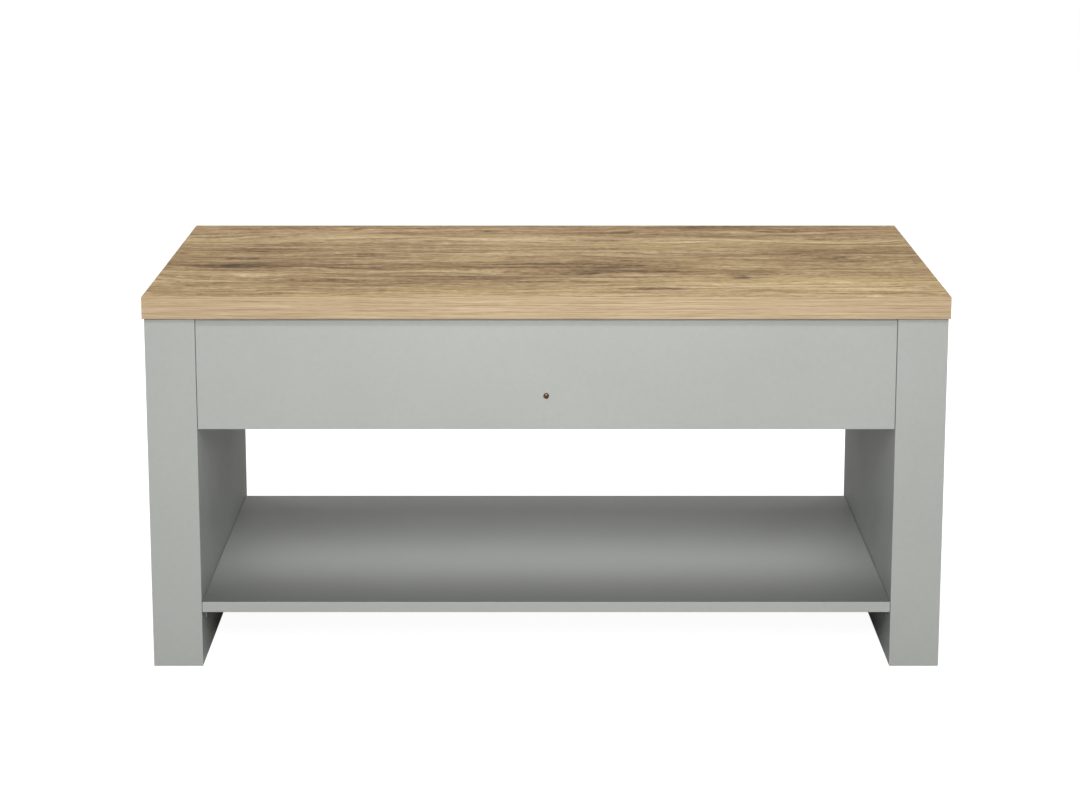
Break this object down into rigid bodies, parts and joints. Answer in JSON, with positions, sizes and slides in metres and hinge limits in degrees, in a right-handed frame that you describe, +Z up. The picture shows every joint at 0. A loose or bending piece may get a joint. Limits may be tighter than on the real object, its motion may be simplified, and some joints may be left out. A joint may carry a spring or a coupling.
{
  "type": "lift top coffee table",
  "caption": "Lift top coffee table: slab sides, open shelf, storage box, and a wood-look top that rises and comes forward on sprung four-bar linkages.",
  "frame": {"origin": "on the floor under the middle of the closed table", "axes": "+X to the right across the width, -Y towards the front, +Z up"},
  "size_m": [0.9, 0.48, 0.432],
  "materials": {
    "rustic_oak": "rustic oak decor, satin, brown-grey streaks and knots",
    "light_oak": "light oak edge band, fine straight grain, satin",
    "grey_board": "light grey foil on board, satin",
    "raw_pine": "unfinished softwood",
    "beech": "unfinished fluted beech",
    "zinc_steel": "bright zinc plating",
    "spring_steel": "drawn spring wire, zinc plated",
    "black_steel": "black powder coat",
    "brass": "brass, slightly tarnished",
    "black_plastic": "matt moulded",
    "white_nylon": "natural nylon",
    "black_rubber": "matt"
  },
  "bodies": {
    "carcass": {"left_outer_skin": "grey_board", "left_inner_skin": "grey_board", "left_front_stile": "raw_pine", "left_back_stile": "raw_pine", "left_top_rail": "raw_pine", "left_shelf_rail": "raw_pine", "left_bottom_rail": "raw_pine", "left_front_edge_band": "grey_board", "left_back_edge_band": "grey_board", "right_outer_skin": "grey_board", "right_inner_skin": "grey_board", "right_front_stile": "raw_pine", "right_back_stile": "raw_pine", "right_top_rail": "raw_pine", "right_shelf_rail": "raw_pine", "right_bottom_rail": "raw_pine", "right_front_edge_band": "grey_board", "right_back_edge_band": "grey_board", "front_panel": "grey_board", "back_panel": "grey_board", "storage_floor": "grey_board", "centre_divider": "grey_board", "shelf": "grey_board", "shelf_front_edge_band": "grey_board", "shelf_brackets": "zinc_steel", "shelf_bracket_screws": "zinc_steel", "wood_dowels": "beech", "cam_bolts": "zinc_steel", "cam_locks": "zinc_steel", "divider_front_screw": "brass", "divider_back_screw": "zinc_steel", "floor_glides": "black_plastic", "glide_nails": "zinc_steel", "top_buffers": "white_nylon", "left_base_bracket": "black_steel", "right_base_bracket": "black_steel", "base_bracket_screws": "zinc_steel", "base_pivot_rivets": "zinc_steel", "base_pivot_washers": "white_nylon", "spring_anchor_pins": "zinc_steel", "stop_pins": "zinc_steel", "stop_sleeves": "black_rubber"},
    "left_rear_arm": {"left_rear_arm": "black_steel", "left_arm_spring_pin": "zinc_steel"},
    "left_front_arm": {"left_front_arm": "black_steel"},
    "right_rear_arm": {"right_rear_arm": "black_steel", "right_arm_spring_pin": "zinc_steel"},
    "right_front_arm": {"right_front_arm": "black_steel"},
    "left_spring": {"left_spring": "spring_steel"},
    "right_spring": {"right_spring": "spring_steel"},
    "top": {"top_board": "rustic_oak", "top_front_edge_band": "light_oak", "top_back_edge_band": "light_oak", "top_left_edge_band": "light_oak", "top_right_edge_band": "light_oak", "left_top_bracket": "black_steel", "right_top_bracket": "black_steel", "top_bracket_screws": "zinc_steel", "top_pivot_rivets": "zinc_steel", "top_pivot_washers": "white_nylon"}
  },
  "joints": [
    {"name": "lift", "type": "hinge", "parent": "carcass", "child": "left_rear_arm", "pos_m": [-0.3875, -0.09427, 0.31422], "axis": [1, 0, 0], "range_deg": [0, 108]},
    {"name": "left_front_arm_pivot", "type": "hinge", "parent": "carcass", "child": "left_front_arm", "pos_m": [-0.3875, -0.15, 0.3414], "axis": [1, 0, 0], "range_deg": [0, 108]},
    {"name": "right_rear_arm_pivot", "type": "hinge", "parent": "carcass", "child": "right_rear_arm", "pos_m": [0.3875, -0.09427, 0.31422], "axis": [1, 0, 0], "range_deg": [0, 108]},
    {"name": "right_front_arm_pivot", "type": "hinge", "parent": "carcass", "child": "right_front_arm", "pos_m": [0.3875, -0.15, 0.3414], "axis": [1, 0, 0], "range_deg": [0, 108]},
    {"name": "top_pivot", "type": "hinge", "parent": "left_rear_arm", "child": "top", "pos_m": [-0.3875, 0.13226, 0.35402], "axis": [1, 0, 0], "range_deg": [-108, 0]},
    {"name": "left_spring_swing", "type": "hinge", "parent": "carcass", "child": "left_spring", "pos_m": [-0.374, -0.189, 0.3262], "axis": [1, 0, 0], "range_deg": [0, 16.22], "deforming": ["left_spring"]},
    {"name": "right_spring_swing", "type": "hinge", "parent": "carcass", "child": "right_spring", "pos_m": [0.374, -0.189, 0.3262], "axis": [1, 0, 0], "range_deg": [0, 16.22], "deforming": ["right_spring"]}
  ],
  "couplings": [
    {"joint": "left_front_arm_pivot", "follows": "lift", "ratio": 1},
    {"joint": "right_rear_arm_pivot", "follows": "lift", "ratio": 1},
    {"joint": "right_front_arm_pivot", "follows": "lift", "ratio": 1},
    {"joint": "top_pivot", "follows": "lift", "ratio": -1},
    {"joint": "left_spring_swing", "follows": "lift", "ratio": 0.15015},
    {"joint": "right_spring_swing", "follows": "lift", "ratio": 0.15015}
  ]
}
